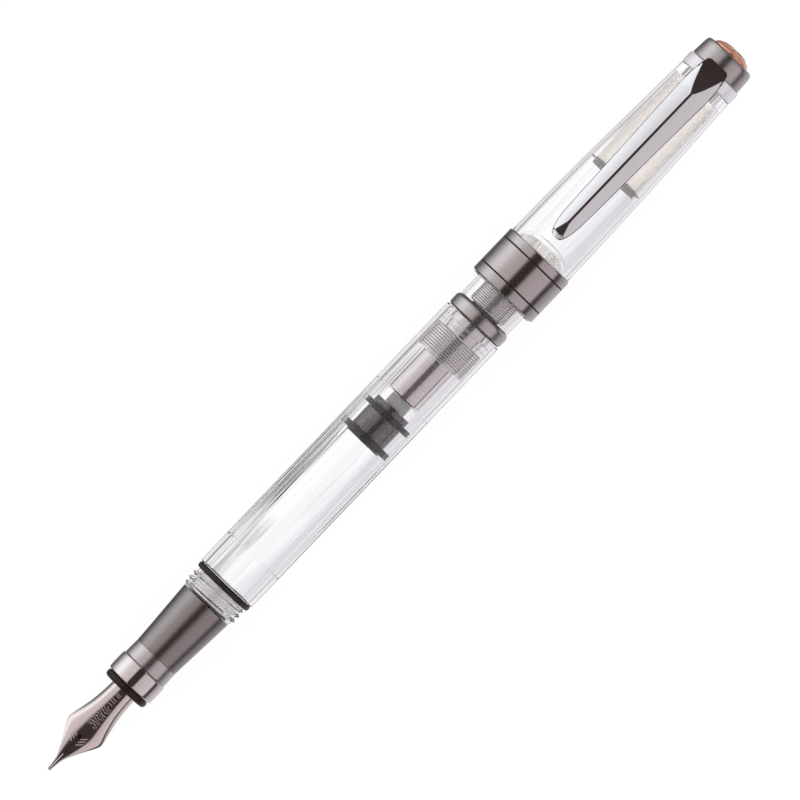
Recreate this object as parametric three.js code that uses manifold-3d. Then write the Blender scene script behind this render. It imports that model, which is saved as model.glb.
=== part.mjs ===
// A piston-filling fountain pen with a clear barrel, its cap posted on the piston knob.
// Millimetres. The pen lies along X, nib towards -X, with its clip up (+Z), on the plane z = 0.
// A station s is a distance along the pen from the nib's tip; r is a radius about its axis.
import * as THREE from "three";
import { mergeVertices } from "three/addons/utils/BufferGeometryUtils.js";
import Module from "manifold-3d";

const wasm = await Module();
wasm.setup();

// ---- driving dimensions -------------------------------------------------------------------
const LENGTH = 178.5; // nib tip to the top of the jewel, cap posted
const SEGMENTS = 24; // sides of every turned piece; one of them faces straight down
const PLAY = 0.1; // radial clearance between pieces that fit in each other
const SEAM = 0.05; // axial gap between pieces that meet face to face

const BARREL_R = 6.3;
const CHAMBER_R = 5.3; // bore of the ink chamber
const FACETS = 10; // flats cut along the barrel
const GRIP_R = 4.6; // the grip's waist
const KNOB_R = 5.7;
const BAND_R = 7.22; // the cap band, the pen's greatest radius
const PISTON_R = 3.9;
const ROD_CREST_R = 2.15;
const ROD_CORE_R = 1.65;
const ROD_FLAT = 1.5; // half the distance across the rod's two flats
const SCREW_LEAD = 8; // piston travel for one turn of the knob
const LINER_R = 4; // outside of the tube that carries the grip
const LINER_THREAD_R = 4.6;
const SPINDLE_R = 3.15;
const INNER_CAP_R = 5;

// Stations where one visible piece ends and the next begins.
const SHOULDER = 9.8; // widest place of the nib
const LIP = 19.5;
const RING = 20.92;
const GRIP = 25;
const BARREL = 41.05;
const SEAT = 44.9; // groove of the cap's seat
const BODY = 46.15;
const FACET_FRONT = 53.2;
const FACET_REAR = 91.7;
const BARREL_REAR = 110.2;
const COLLAR_REAR = 113.2;
const KNOB = 113.3;
const KNOB_END = 130.5;
const CAP = 117.2;
const BAND = 117.7;
const BAND_REAR = 127.6;
const INNER_CAP = 147.6;
const CAP_REAR = 170.4;
const CLIP_RING_REAR = 173;
const FINIAL_REAR = 177;
const PISTON = 81.3;
const PISTON_REAR = 89.6;
const CONNECTOR = 92;

const AXIS_HEIGHT = BAND_R * Math.cos(Math.PI / SEGMENTS); // puts the band's lowest side on z = 0

// ---- shape helpers ------------------------------------------------------------------------
// A solid of revolution about X; the profile is a closed loop of [s, r] points.
function turned(profile, segments = SEGMENTS) {
  const points = profile.map(([s, r]) => new THREE.Vector2(r, s));
  if (!THREE.ShapeUtils.isClockWise(points)) points.reverse();
  points.reverse();
  points.push(points[0].clone());
  const geometry = new THREE.LatheGeometry(points, segments, Math.PI / segments);
  return geometry.rotateZ(-Math.PI / 2);
}

// A closed skin over rings of [x, y, z] points, each ring counter-clockwise seen from +X.
function lofted(rings) {
  const count = rings[0].length;
  const index = [];
  for (let i = 0; i + 1 < rings.length; i += 1) {
    for (let j = 0; j < count; j += 1) {
      const a = i * count + j;
      const b = i * count + ((j + 1) % count);
      index.push(a, b, a + count, b, b + count, a + count);
    }
  }
  const endFaces = (ring) =>
    THREE.ShapeUtils.triangulateShape(
      ring.map(([, y, z]) => new THREE.Vector2(y, z)),
      [],
    );
  for (const [a, b, c] of endFaces(rings[0])) index.push(a, c, b);
  const last = (rings.length - 1) * count;
  for (const [a, b, c] of endFaces(rings.at(-1))) index.push(last + a, last + b, last + c);
  const geometry = new THREE.BufferGeometry();
  geometry.setAttribute("position", new THREE.Float32BufferAttribute(rings.flat(2), 3));
  return geometry.setIndex(index);
}

function rod(s0, s1, r, segments = SEGMENTS) {
  const turn = Math.PI / segments;
  const geometry = new THREE.CylinderGeometry(r, r, s1 - s0, segments, 1, false, turn);
  return geometry.rotateZ(-Math.PI / 2).translate((s0 + s1) / 2, 0, 0);
}

function box(s0, s1, y0, y1, z0, z1) {
  const geometry = new THREE.BoxGeometry(s1 - s0, y1 - y0, z1 - z0);
  return geometry.translate((s0 + s1) / 2, (y0 + y1) / 2, (z0 + z1) / 2);
}

function toSolid(geometry) {
  const bare = geometry.clone();
  bare.deleteAttribute("normal");
  bare.deleteAttribute("uv");
  const merged = mergeVertices(bare, 1e-4);
  return new wasm.Manifold(
    new wasm.Mesh({
      numProp: 3,
      vertProperties: merged.attributes.position.array,
      triVerts: new Uint32Array(merged.index.array),
    }),
  );
}

function toGeometry(solid) {
  const mesh = solid.getMesh();
  const geometry = new THREE.BufferGeometry();
  geometry.setAttribute("position", new THREE.BufferAttribute(mesh.vertProperties, 3));
  return geometry.setIndex(new THREE.BufferAttribute(mesh.triVerts, 1));
}

function cut(body, ...cutters) {
  return toGeometry(cutters.reduce((solid, c) => solid.subtract(toSolid(c)), toSolid(body)));
}

function range(count, make) {
  return Array.from({ length: count }, (_, i) => make(i));
}

// A smooth curve through [s, value] points, read at a station.
function curveThrough(points) {
  const last = points.length - 1;
  const slope = (k) => {
    const before = points[Math.max(0, k - 1)];
    const after = points[Math.min(last, k + 1)];
    return (after[1] - before[1]) / (after[0] - before[0]);
  };
  return (s) => {
    let i = 0;
    while (i < last - 1 && s > points[i + 1][0]) i += 1;
    const [s0, v0] = points[i];
    const [s1, v1] = points[i + 1];
    const step = s1 - s0;
    const t = (THREE.MathUtils.clamp(s, s0, s1) - s0) / step;
    const t2 = t * t;
    const t3 = t2 * t;
    const start = (2 * t3 - 3 * t2 + 1) * v0 + (t3 - 2 * t2 + t) * step * slope(i);
    return start + (3 * t2 - 2 * t3) * v1 + (t3 - t2) * step * slope(i + 1);
  };
}

// A rubber ring between two stations and two radii, its corners rounded off.
function sealRing(s0, s1, r0, r1) {
  const soft = 0.28 * Math.min(s1 - s0, r1 - r0);
  return turned([
    [s0, r0 + soft],
    [s0, r1 - soft],
    [s0 + soft, r1],
    [s1 - soft, r1],
    [s1, r1 - soft],
    [s1, r0 + soft],
    [s1 - soft, r0],
    [s0 + soft, r0],
  ]);
}

// ---- nib and feed -------------------------------------------------------------------------
const NIB_SHEET = 0.35; // thickness of the nib
const NIB_REAR = 30;
const NIB_CROWN = 2.5; // height of the nib's crown above the axis, along its body
const NIB_DROP = 2.2; // how far the crown has come down at the tip
const NIB_DROP_FROM = 14; // station where the crown starts to come down
const CROWN_RADIUS = 7.5; // curvature across the crown
const SIDE_BEND = 1.3; // how far the nib's sides are bent down around the feed
const FEED_GAP = 0.12;
const HOUSING_BORE = 3;
const BREATHER = 8.2; // station of the breather hole, where the slit ends

const nibHalfWidth = curveThrough([
  [0, 0.3],
  [1.4, 0.42],
  [3.2, 0.8],
  [6, 2.15],
  [9, 3.8],
  [SHOULDER, 3.95],
  [12, 3.5],
  [15, 2.9],
  [19, 2.62],
  [NIB_REAR, 2.6],
]);

function nibCrown(s) {
  const fall = Math.max(0, 1 - s / NIB_DROP_FROM);
  return NIB_CROWN - NIB_DROP * fall * fall;
}

function nibTop(s, y) {
  const share = Math.abs(y) / nibHalfWidth(s);
  const bend = 0.1 + SIDE_BEND * THREE.MathUtils.smoothstep(s, 3, 17);
  return nibCrown(s) - (y * y) / (2 * CROWN_RADIUS) - bend * share ** 6;
}

function nib() {
  const across = [1, 0.9, 0.7, 0.4, 0, -0.4, -0.7, -0.9, -1];
  const stations = [0, 0.4, 1.2, 2.2, 3.5, 5, 6.5, 8, 9, SHOULDER, 11, 13, 15, 17.5, 20, NIB_REAR];
  const rings = stations.map((s) => {
    const top = across.map((share) => {
      const y = share * nibHalfWidth(s);
      return [s, y, nibTop(s, y)];
    });
    const bottom = top.map(([, y, z]) => [s, y, z - NIB_SHEET]).reverse();
    return [...top, ...bottom];
  });
  const breather = new THREE.CylinderGeometry(0.45, 0.45, 4, 12);
  breather.rotateX(Math.PI / 2).translate(BREATHER, 0, 2);
  const slit = box(-1, BREATHER, -0.05, 0.05, -2, 4);
  return cut(lofted(rings), breather, slit);
}

const FEED = 3.6;
const FEED_REAR = 30;
const FEED_TAIL = 37; // the thin tail reaches into the ink chamber's throat
const FINS = 7;

function feed() {
  const stations = [FEED, 6, 8, 10, 13, 17, FEED_REAR];
  const rings = stations.map((s) => {
    const ripe = Math.min(1, (s - FEED) / 13);
    const width = 0.45 + 1.7 * ripe;
    const depth = 0.4 + 4.2 * ripe ** 0.8;
    const top = nibCrown(s) - NIB_SHEET - FEED_GAP;
    const side = nibTop(s, width) - NIB_SHEET - FEED_GAP;
    const waist = Math.min(side - 0.1, top - 0.45 * depth);
    const below = range(9, (i) => {
      const angle = Math.PI * (1 + i / 8);
      return [s, width * Math.cos(angle), waist + (waist - top + depth) * Math.sin(angle)];
    });
    return [...below, [s, width, side], [s, 0, top], [s, -width, side]];
  });
  const tail = toSolid(rod(FEED_REAR - 1, FEED_TAIL, 1.5, 12));
  const solid = toSolid(lofted(rings)).add(tail);
  const combs = range(FINS, (i) => toSolid(box(10.4 + i * 1.2, 11 + i * 1.2, -4, 4, -4, -0.9)));
  return toGeometry(combs.reduce((body, comb) => body.subtract(comb), solid));
}

function nibHousing() {
  const outer = LINER_R - 0.6;
  return turned([
    [LIP + 0.6, HOUSING_BORE],
    [LIP + 0.6, outer],
    [34.5, outer],
    [34.5, HOUSING_BORE - 0.6],
    [33.3, HOUSING_BORE - 0.6],
    [33.3, HOUSING_BORE],
  ]);
}

// ---- grip section -------------------------------------------------------------------------
const LINER_REAR = 45;

function sectionLiner() {
  const lipR = 4.7;
  const bore = LINER_R - 0.5;
  const thread = BARREL + SEAM;
  return turned([
    [LIP, bore],
    [LIP, lipR - 0.3],
    [LIP + 0.3, lipR],
    [RING - SEAM, lipR],
    [RING - SEAM, LINER_R],
    [thread, LINER_R],
    [thread, LINER_THREAD_R],
    [LINER_REAR, LINER_THREAD_R],
    [LINER_REAR, 3],
    [36, 3],
    [36, bore],
  ]);
}

function sectionRing() {
  const r = 4.97;
  return turned([
    [RING, LINER_R + PLAY],
    [RING, r - 0.3],
    [RING + 0.3, r],
    [GRIP - 0.25, r],
    [GRIP - SEAM, r - 0.2],
    [GRIP - SEAM, LINER_R + PLAY],
  ]);
}

function grip() {
  return turned([
    [GRIP, LINER_R + PLAY],
    [GRIP, GRIP_R + 0.05],
    [28, GRIP_R],
    [32, GRIP_R + 0.25],
    [36.5, GRIP_R + 0.5],
    [BARREL - SEAM, GRIP_R + 0.77],
    [BARREL - SEAM, LINER_R + PLAY],
  ]);
}

// ---- barrel -------------------------------------------------------------------------------
const THREAD_ROOT = 5.45;
const THREAD_CREST = 5.9;
const SOCKET_REAR = 45.95; // end of the threaded socket that takes the grip section

function barrel() {
  const ridges = range(3, (i) => {
    const s = BARREL + 0.85 + i * 1.15;
    return [
      [s - 0.35, THREAD_ROOT],
      [s, THREAD_CREST],
      [s + 0.35, THREAD_ROOT],
    ];
  });
  const body = turned([
    [BARREL, LINER_THREAD_R + PLAY],
    [BARREL, THREAD_ROOT],
    ...ridges.flat(),
    [SEAT, THREAD_ROOT],
    [SEAT, THREAD_ROOT - 0.1],
    [BODY, THREAD_ROOT - 0.1],
    [BODY, BARREL_R - 0.1],
    [FACET_FRONT, BARREL_R],
    [FACET_REAR, BARREL_R],
    [BARREL_REAR, BARREL_R],
    [BARREL_REAR, CHAMBER_R],
    [50, CHAMBER_R],
    [SOCKET_REAR, 4.2],
    [SOCKET_REAR, LINER_THREAD_R + PLAY],
  ]);
  const flats = rod(FACET_FRONT - 1, FACET_REAR + 1, BARREL_R, FACETS);
  return cut(body, cut(rod(FACET_FRONT, FACET_REAR, BARREL_R + 2), flats));
}

// ---- piston -------------------------------------------------------------------------------
const SEAL_GROOVES = [
  [81.6, 82.95],
  [87.2, 88.4],
];
const SEAL_SEAT = 3.3;
const PIN_R = 1.5;
const PIN = 84; // the rod's pin starts here, inside the piston head
const NECK_REAR = 91.7;
const ROD_END = 127;

function pistonHead() {
  const grooves = SEAL_GROOVES.map(([a, b]) => [
    [a, PISTON_R],
    [a, SEAL_SEAT],
    [b, SEAL_SEAT],
    [b, PISTON_R],
  ]);
  return turned([
    [PISTON, 0],
    [PISTON, PISTON_R],
    ...grooves.flat(),
    [PISTON_REAR, PISTON_R],
    [PISTON_REAR, PIN_R + PLAY],
    [PIN - SEAM, PIN_R + PLAY],
    [PIN - SEAM, 0],
  ]);
}

function pistonSeal([s0, s1]) {
  const lip = CHAMBER_R - 0.06;
  return turned([
    [s0 + SEAM, SEAL_SEAT + PLAY],
    [s0 + SEAM, lip],
    [(s0 + s1) / 2, lip - 0.2],
    [s1 - SEAM, lip],
    [s1 - SEAM, SEAL_SEAT + PLAY],
  ]);
}

// A twisted bar with two opposite ridges; `grow` swells it for the hole that it runs in.
function screw(s0, s1, grow = 0) {
  const slack = 20 * grow; // degrees added to each ridge
  const half = [
    [-25 - slack, ROD_CREST_R],
    [0, ROD_CREST_R],
    [25 + slack, ROD_CREST_R],
    [42 + slack, ROD_CORE_R],
    [90, ROD_CORE_R],
    [138 - slack, ROD_CORE_R],
  ];
  const outline = [...half, ...half.map(([angle, r]) => [angle + 180, r])];
  const steps = Math.ceil(((s1 - s0) / SCREW_LEAD) * 16);
  const rings = range(steps + 1, (i) => {
    const s = s0 + ((s1 - s0) * i) / steps;
    return outline.map(([angle, r]) => {
      const a = THREE.MathUtils.degToRad(angle) + (2 * Math.PI * s) / SCREW_LEAD;
      return [s, (r + grow) * Math.cos(a), (r + grow) * Math.sin(a)];
    });
  });
  return lofted(rings);
}

function pistonRod() {
  const flats = toSolid(box(NECK_REAR - 1, ROD_END + 1, -3, 3, -ROD_FLAT, ROD_FLAT));
  const threaded = toSolid(screw(NECK_REAR, ROD_END)).intersect(flats);
  const neck = turned([
    [PIN, 0],
    [PIN, PIN_R],
    [PISTON_REAR + SEAM, PIN_R],
    [PISTON_REAR + SEAM, 2.2],
    [NECK_REAR + 0.1, 2.2],
    [NECK_REAR + 0.1, 0],
  ]);
  return toGeometry(toSolid(neck).add(threaded));
}

// ---- piston drive -------------------------------------------------------------------------
const KEY_REAR = 93.4; // the connector's front wall, whose slot keeps the rod from turning
const SPINDLE = 93.8;
const NUT_REAR = 98.6;
const SPINDLE_REAR = 118;

function connector() {
  const bore = SPINDLE_R + 0.15;
  const tube = turned([
    [CONNECTOR, 0],
    [CONNECTOR, 3.55],
    [CONNECTOR + 0.15, 3.7],
    [101.4, 3.7],
    [101.4, 5.2],
    [106.5, 5.2],
    [106.5, 3.9],
    [108.7, 3.9],
    [108.7, 4.4],
    [BARREL_REAR, 4.4],
    [BARREL_REAR, bore],
    [KEY_REAR, bore],
    [KEY_REAR, 0],
  ]);
  const gap = 0.15;
  const wide = ROD_CREST_R + gap;
  const high = ROD_FLAT + gap;
  return cut(tube, box(CONNECTOR - 1, KEY_REAR + 1, -wide, wide, -high, high));
}

function collar() {
  const [front, r, bore] = [BARREL_REAR + SEAM, 6.12, SPINDLE_R + 0.15];
  return turned([
    [front, bore],
    [front, r],
    [front + 1.4, r],
    [front + 2.4, r - 0.4],
    [COLLAR_REAR, r - 1.1],
    [COLLAR_REAR, bore],
  ]);
}

function spindle() {
  const tube = turned([
    [SPINDLE, 0],
    [SPINDLE, SPINDLE_R],
    [SPINDLE_REAR, SPINDLE_R],
    [SPINDLE_REAR, ROD_CREST_R + 0.2],
    [NUT_REAR, ROD_CREST_R + 0.2],
    [NUT_REAR, 0],
  ]);
  return cut(tube, screw(SPINDLE - 0.5, NUT_REAR + 0.5, 0.15));
}

const CORE_R = 4.1;
const CORE_REAR = 128.2;

function knobCore() {
  const deep = 0.25;
  const ribs = range(11, (i) => {
    const s = KNOB + 1 + i * 1.2;
    return [
      [s, CORE_R - deep],
      [s + 0.3, CORE_R],
      [s + 0.9, CORE_R],
      [s + 1.2, CORE_R - deep],
    ];
  });
  return turned([
    [KNOB, SPINDLE_R + PLAY],
    [KNOB, CORE_R - deep],
    ...ribs.flatMap((rib, i) => (i === 0 ? rib : rib.slice(1))),
    [CORE_REAR, CORE_R - deep],
    [CORE_REAR, 0],
    [ROD_END + 0.3, 0],
    [ROD_END + 0.3, ROD_CREST_R + 0.2],
    [SPINDLE_REAR + SEAM, ROD_CREST_R + 0.2],
    [SPINDLE_REAR + SEAM, SPINDLE_R + PLAY],
  ]);
}

function knobShell() {
  return turned([
    [KNOB, CORE_R + PLAY],
    [KNOB, KNOB_R - 0.25],
    [KNOB + 0.25, KNOB_R],
    [127.5, KNOB_R],
    [129.2, KNOB_R - 0.8],
    [130.2, KNOB_R - 2.6],
    [KNOB_END, 0],
    [CORE_REAR + SEAM, 0],
    [CORE_REAR + SEAM, CORE_R + PLAY],
  ]);
}

// ---- cap ----------------------------------------------------------------------------------
const CAP_BORE = 6;
const CAP_THREAD_CREST = KNOB_R + 0.08; // clears the knob and runs on the barrel's thread
const BAND_SEAT = 6.55;

function capBody() {
  const grooves = range(3, (i) => {
    const s = CAP + 5 - i * 1.15;
    return [
      [s, CAP_BORE],
      [s - 0.35, CAP_THREAD_CREST],
      [s - 0.7, CAP_BORE],
    ];
  });
  return turned([
    [CAP, CAP_BORE],
    [CAP, 6.6],
    [BAND - SEAM, 6.6],
    [BAND - SEAM, BAND_SEAT],
    [BAND_REAR + SEAM, BAND_SEAT],
    [BAND_REAR + SEAM, 6.85],
    [138, 6.7],
    [148, 6.48],
    [158, 6.15],
    [CAP_REAR, 5.65],
    [CAP_REAR, 3.6],
    [168.4, 3.6],
    [168.4, INNER_CAP_R + PLAY],
    [160, 5.4],
    [147.55, 5.95],
    [130, CAP_BORE],
    ...grooves.flat(),
  ]);
}

function capBand() {
  const chamfer = 0.25;
  const groove = (s) => [
    [s - 0.2, BAND_R],
    [s, BAND_R - 0.3],
    [s + 0.2, BAND_R],
  ];
  return turned([
    [BAND, BAND_SEAT + PLAY / 2],
    [BAND, BAND_R - chamfer],
    [BAND + chamfer, BAND_R],
    ...groove(119.85),
    ...groove(125.7),
    [BAND_REAR - chamfer, BAND_R],
    [BAND_REAR, BAND_R - chamfer],
    [BAND_REAR, BAND_SEAT + PLAY / 2],
  ]);
}

function innerCap() {
  const bore = INNER_CAP_R - 0.7;
  const rear = 168.2;
  return turned([
    [INNER_CAP, bore],
    [INNER_CAP, INNER_CAP_R],
    [166, INNER_CAP_R - 0.1],
    [rear, INNER_CAP_R - 0.5],
    [rear, 0],
    [rear - 1, 0],
    [rear - 1, bore - 0.3],
    [165.5, bore],
  ]);
}

function innerCapSeal() {
  return sealRing(146.2, INNER_CAP - SEAM, INNER_CAP_R - 0.7, 5.85);
}

function clipRing() {
  const [front, rear, r] = [CAP_REAR + SEAM, CLIP_RING_REAR - SEAM, 5.85];
  return turned([
    [front, 3.6],
    [front, r - 0.2],
    [front + 0.2, r],
    [rear - 0.2, r],
    [rear, r - 0.2],
    [rear, 3.6],
  ]);
}

const JEWEL_R = 3.85;
const JEWEL_SEAT = 176.4;

function finial() {
  const stud = 3.5;
  return turned([
    [168.5, 0],
    [168.5, stud],
    [CLIP_RING_REAR, stud],
    [CLIP_RING_REAR, 5.5],
    [FINIAL_REAR - 0.5, 5.3],
    [FINIAL_REAR, 4.9],
    [FINIAL_REAR, JEWEL_R + PLAY],
    [JEWEL_SEAT, JEWEL_R + PLAY],
    [JEWEL_SEAT, 0],
  ]);
}

function jewel() {
  return turned([
    [JEWEL_SEAT + SEAM, 0],
    [JEWEL_SEAT + SEAM, JEWEL_R],
    [FINIAL_REAR + 0.2, JEWEL_R],
    [FINIAL_REAR + 0.9, JEWEL_R - 1],
    [LENGTH - 0.1, JEWEL_R - 2.3],
    [LENGTH, 0],
  ]);
}

// The clip: a roof-shaped bar that stands off the cap and comes back to it at the toe.
// [station, half width, underside, eaves, ridge], heights above the axis.
const CLIP_SECTIONS = [
  [131.6, 0.5, 7.2, 7.4, 7.6],
  [132.1, 1.2, 6.97, 7.55, 8.05],
  [133.2, 1.65, 6.92, 7.7, 8.35],
  [134.6, 1.93, 7.1, 7.85, 8.7],
  [136.5, 2.13, 7.55, 7.95, 9],
  [145, 2.4, 7.62, 7.98, 9.15],
  [155, 2.68, 7.5, 7.9, 9.15],
  [162, 2.9, 7.2, 7.75, 9.05],
  [167, 3.02, 6.4, 7.45, 8.85],
  [168.2, 3.03, 6.05, 7.35, 8.65],
  [171, 2.85, 6.05, 7.1, 8.2],
  [173.6, 2.4, 6.06, 6.85, 7.55],
  [174.1, 1.95, 6.1, 6.8, 7.4],
];

function clip() {
  const rings = CLIP_SECTIONS.map(([s, w, under, eaves, ridge]) => [
    [s, w, under],
    [s, w, eaves],
    [s, 0, ridge],
    [s, -w, eaves],
    [s, -w, under],
  ]);
  return lofted(rings);
}

// ---- assembly -----------------------------------------------------------------------------
const pen = new THREE.Group();
pen.name = "fountain_pen";

const FINISHES = {
  clear: { color: 0xf4f5f8, roughness: 0.05, metalness: 0, opacity: 0.3, transparent: true },
  frosted: { color: 0xe9e2d8, roughness: 0.4, metalness: 0, opacity: 0.7, transparent: true },
  gunmetal: { color: 0x77757a, roughness: 0.35, metalness: 0.9 },
  chrome: { color: 0xd8d4d8, roughness: 0.08, metalness: 1 },
  steel: { color: 0xcfc6c4, roughness: 0.15, metalness: 1 },
  blackPlastic: { color: 0x1c1a1c, roughness: 0.4, metalness: 0 },
  greyPlastic: { color: 0x8c878b, roughness: 0.45, metalness: 0 },
  rubber: { color: 0x2a2729, roughness: 0.7, metalness: 0 },
  copper: { color: 0xc8714a, roughness: 0.3, metalness: 0.9 },
};

function addPiece(name, geometry, finish) {
  const mesh = new THREE.Mesh(geometry, new THREE.MeshStandardMaterial(FINISHES[finish]));
  mesh.name = name;
  mesh.position.set(-LENGTH / 2, 0, AXIS_HEIGHT);
  pen.add(mesh);
}

addPiece("nib", nib(), "steel");
addPiece("feed", feed(), "blackPlastic");
addPiece("nib_housing", nibHousing(), "blackPlastic");
addPiece("section_liner", sectionLiner(), "blackPlastic");
addPiece("section_ring", sectionRing(), "chrome");
addPiece("grip", grip(), "gunmetal");
addPiece("section_seal", sealRing(45.1, 45.85, 3.6, LINER_THREAD_R), "rubber");
addPiece("barrel", barrel(), "clear");
addPiece("cap_seat_seal", sealRing(SEAT + SEAM, BODY - SEAM, THREAD_ROOT - 0.05, 6.12), "rubber");
addPiece("piston_head", pistonHead(), "greyPlastic");
addPiece("piston_seal_front", pistonSeal(SEAL_GROOVES[0]), "rubber");
addPiece("piston_seal_rear", pistonSeal(SEAL_GROOVES[1]), "rubber");
addPiece("piston_rod", pistonRod(), "greyPlastic");
addPiece("connector", connector(), "gunmetal");
addPiece("collar", collar(), "gunmetal");
addPiece("spindle", spindle(), "blackPlastic");
addPiece("knob_core", knobCore(), "gunmetal");
addPiece("knob_shell", knobShell(), "clear");
addPiece("cap_body", capBody(), "clear");
addPiece("cap_band", capBand(), "gunmetal");
addPiece("inner_cap", innerCap(), "frosted");
addPiece("inner_cap_seal", innerCapSeal(), "greyPlastic");
addPiece("clip_ring", clipRing(), "chrome");
addPiece("clip", clip(), "steel");
addPiece("finial", finial(), "gunmetal");
addPiece("jewel", jewel(), "copper");

export default pen;
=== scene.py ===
"""The looks of a piston-filling fountain pen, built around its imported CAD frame.

Stations (s) and radii are in millimetres: s runs along the pen from the nib's tip, and y and z are
measured across it from its axis. place() turns them into the frame's metres.
"""

import math
from functools import partial

import bmesh
import bpy
from mathutils import Matrix, Vector


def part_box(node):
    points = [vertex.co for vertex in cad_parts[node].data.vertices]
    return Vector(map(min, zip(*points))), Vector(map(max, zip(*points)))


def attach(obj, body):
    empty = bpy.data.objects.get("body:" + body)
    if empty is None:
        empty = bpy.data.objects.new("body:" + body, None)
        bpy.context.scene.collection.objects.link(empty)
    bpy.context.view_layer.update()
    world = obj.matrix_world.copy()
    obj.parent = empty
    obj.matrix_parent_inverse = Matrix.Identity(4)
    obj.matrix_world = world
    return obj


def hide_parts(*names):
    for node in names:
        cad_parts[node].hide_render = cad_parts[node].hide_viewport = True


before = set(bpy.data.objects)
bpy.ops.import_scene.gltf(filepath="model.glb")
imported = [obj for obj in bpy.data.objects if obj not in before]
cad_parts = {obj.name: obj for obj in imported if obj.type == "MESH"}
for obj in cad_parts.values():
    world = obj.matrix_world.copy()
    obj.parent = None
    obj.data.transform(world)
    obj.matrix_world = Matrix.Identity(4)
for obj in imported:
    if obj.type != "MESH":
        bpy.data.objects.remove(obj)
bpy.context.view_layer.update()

MM = 0.001
TIP_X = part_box("nib")[0].x
BAND_LOW, BAND_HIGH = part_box("cap_band")
AXIS_Z = (BAND_LOW.z + BAND_HIGH.z) / 2
BAND_R = (BAND_HIGH.z - BAND_LOW.z) / 2 / MM
ROUND = 120  # sides of the large turned pieces
FINE = 72  # sides of the small ones
SHARP = math.radians(28)


def place(s, y, z):
    return Vector((TIP_X + s * MM, y * MM, AXIS_Z + z * MM))


def station(node, end):
    """Station of a CAD node's front (end 0) or rear (end 1)."""
    return (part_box(node)[end].x - TIP_X) / MM


# ---- mesh helpers ---------------------------------------------------------------------------
def finish_mesh(name, body, bm, material, cad=(), sharp=SHARP):
    """Turns a bmesh into a piece that rides on a body and stands for CAD nodes."""
    bmesh.ops.remove_doubles(bm, verts=bm.verts, dist=0.002 * MM)
    bmesh.ops.recalc_face_normals(bm, faces=bm.faces)
    mesh = bpy.data.meshes.new(name)
    bm.to_mesh(mesh)
    bm.free()
    mesh.polygons.foreach_set("use_smooth", [True] * len(mesh.polygons))
    mesh.set_sharp_from_angle(angle=sharp)
    mesh.materials.append(material)
    piece = bpy.data.objects.new(name, mesh)
    bpy.context.scene.collection.objects.link(piece)
    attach(piece, body)
    if cad:
        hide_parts(*cad)
    return piece


HOLD = 0.06  # how far past a rounded corner the straight wall is pinned flat


def softened(profile, radius, steps=3):
    """The closed [s, r] loop with its corners rounded off and its long walls kept straight."""
    out = []
    count = len(profile)
    for i, point in enumerate(profile):
        before, after = profile[i - 1], profile[(i + 1) % count]
        if point[1] == 0:
            out.append(point)
            continue
        here = Vector(point)
        back, ahead = Vector(before) - here, Vector(after) - here
        reach = min(radius, 0.45 * back.length, 0.45 * ahead.length)
        if back.angle(-ahead, 0) < math.radians(12):
            out.append(point)
            continue
        a, b = here + back.normalized() * reach, here + ahead.normalized() * reach
        if back.length > 3 * (reach + HOLD):
            out.append(tuple(a + back.normalized() * HOLD))
        for k in range(steps + 1):
            t = k / steps
            mid = a * (1 - t) ** 2 + here * 2 * t * (1 - t) + b * t**2
            out.append((mid.x, mid.y))
        if ahead.length > 3 * (reach + HOLD):
            out.append(tuple(b + ahead.normalized() * HOLD))
    return out


def revolve(bm, profile, sides):
    """Adds the turned skin of a closed loop. A radius may be a function of the angle from +Z."""
    rings = []
    for s, r in profile:
        if not callable(r) and r == 0:
            rings.append([bm.verts.new(place(s, 0, 0))])
            continue
        ring = []
        for k in range(sides):
            angle = 2 * math.pi * k / sides
            radius = r(angle) if callable(r) else r
            ring.append(bm.verts.new(place(s, -radius * math.sin(angle), radius * math.cos(angle))))
        rings.append(ring)
    for a, b in zip(rings, rings[1:] + rings[:1]):
        if len(a) == 1 and len(b) == 1:
            continue
        for k in range(sides):
            n = (k + 1) % sides
            if len(a) == 1:
                bm.faces.new((a[0], b[n], b[k]))
            elif len(b) == 1:
                bm.faces.new((a[k], a[n], b[0]))
            else:
                bm.faces.new((a[k], a[n], b[n], b[k]))


def turned(name, body, profile, material, cad=(), soft=0.12, sides=ROUND):
    bm = bmesh.new()
    revolve(bm, softened(profile, soft) if soft else profile, sides)
    return finish_mesh(name, body, bm, material, cad)


def paint_groove_shade(piece, s0, s1, r, material):
    """Paints groove shade: gives another material to the faces between two stations nearer the axis
    than r.
    """
    piece.data.materials.append(material)
    for face in piece.data.polygons:
        at = face.center
        s, away = (at.x - TIP_X) / MM, math.hypot(at.y, at.z - AXIS_Z) / MM
        if s0 < s < s1 and away < r:
            face.material_index = 1


def loft(bm, rings):
    """Adds a solid's skin over rings of points; every ring has the same number of them."""
    made = [[bm.verts.new(place(*p)) for p in ring] for ring in rings]
    count = len(made[0])
    for a, b in zip(made, made[1:]):
        for k in range(count):
            n = (k + 1) % count
            bm.faces.new((a[k], a[n], b[n], b[k]))
    bm.faces.new(made[0])
    bm.faces.new(list(reversed(made[-1])))


def smooth_curve(points):
    """A smooth curve through (s, value) points."""

    def slope(k):
        before, after = points[max(0, k - 1)], points[min(len(points) - 1, k + 1)]
        return (after[1] - before[1]) / (after[0] - before[0])

    def value(s):
        i = 0
        while i < len(points) - 2 and s > points[i + 1][0]:
            i += 1
        (s0, v0), (s1, v1) = points[i], points[i + 1]
        step = s1 - s0
        t = min(max((s - s0) / step, 0), 1)
        start = (2 * t**3 - 3 * t**2 + 1) * v0 + (t**3 - 2 * t**2 + t) * step * slope(i)
        return start + (3 * t**2 - 2 * t**3) * v1 + (t**3 - t**2) * step * slope(i + 1)

    return value


def steps_between(a, b, count):
    return [a + (b - a) * i / count for i in range(count + 1)]


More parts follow.
